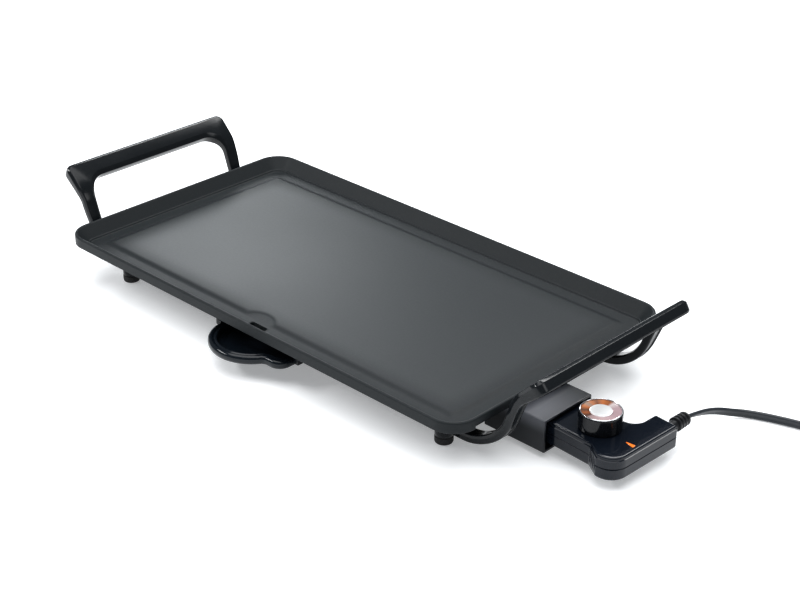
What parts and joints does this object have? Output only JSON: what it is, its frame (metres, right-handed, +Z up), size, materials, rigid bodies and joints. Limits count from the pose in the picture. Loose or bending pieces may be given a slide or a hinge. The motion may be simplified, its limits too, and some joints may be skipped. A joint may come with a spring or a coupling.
{
  "type": "electric griddle",
  "caption": "Rectangular electric table griddle: rimmed non-stick plate on looped end handles, pull-out drip tray and a plug-in thermostat controller with knob and mains cord.",
  "frame": {"origin": "on the table under the middle of the object's box, measured without its cord, coil and plug", "axes": "+X along the plate towards the controller, +Y towards the back, +Z up"},
  "size_m": [0.7982, 0.4002, 0.0907],
  "materials": {
    "nonstick_cast": "satin",
    "element_sheath": "satin",
    "white_ceramic": "matte",
    "nickel": "polished",
    "plated_steel": "satin",
    "bare_aluminium": "satin",
    "black_gloss": "gloss",
    "black_rubber": "matte",
    "tray_gloss": "gloss",
    "case_gloss": "gloss",
    "contact_brass": "satin",
    "lamp_glass": "clear",
    "orange_lens": "gloss",
    "grey_plastic": "matte",
    "knob_black": "gloss",
    "bezel_chrome": "polished",
    "dial_metal": "satin",
    "cap_metal": "polished",
    "cord_black": "satin",
    "tie_black": "matte",
    "plug_black": "satin"
  },
  "bodies": {
    "griddle": {"griddle_plate": "nonstick_cast", "heating_element": "element_sheath", "terminal_beads": "white_ceramic", "terminal_pins": "nickel", "element_clamps": "plated_steel", "clamp_screws": "plated_steel", "probe_guide": "bare_aluminium", "left_handle": "black_gloss", "right_handle": "black_gloss", "handle_screws": "plated_steel", "rubber_feet": "black_rubber", "terminal_guard": "black_gloss", "guard_screws": "plated_steel", "tray_rails": "black_gloss", "rail_screws": "plated_steel"},
    "drip_tray": {"drip_tray": "tray_gloss"},
    "controller": {"controller_lower_case": "case_gloss", "controller_upper_case": "case_gloss", "case_screws": "plated_steel", "probe_stem": "nickel", "terminal_sockets": "contact_brass", "thermostat_frame": "plated_steel", "contact_blades": "contact_brass", "contact_points": "nickel", "spindle_bush": "contact_brass", "pilot_lamp": "lamp_glass", "pilot_lens": "orange_lens", "cord_clamp": "grey_plastic", "strain_relief": "black_rubber", "cord_run": "cord_black", "cord_coil": "cord_black", "cord_tie": "tie_black", "cord_tail": "cord_black", "plug_body": "plug_black", "plug_pins": "nickel"},
    "knob": {"spindle": "plated_steel", "knob_body": "knob_black", "knob_bezel": "bezel_chrome", "knob_dial": "dial_metal", "knob_cap": "cap_metal"}
  },
  "joints": [
    {"name": "controller_slide", "type": "slide", "parent": "griddle", "child": "controller", "axis": [1, 0, 0], "range_m": [0, 0.11]},
    {"name": "knob_turn", "type": "hinge", "parent": "controller", "child": "knob", "pos_m": [0.28178, -0.02, 0.04], "axis": [0, 0, 1], "range_deg": [0, 280]},
    {"name": "tray_slide", "type": "slide", "parent": "griddle", "child": "drip_tray", "axis": [0, -1, 0], "range_m": [0, 0.09]}
  ]
}
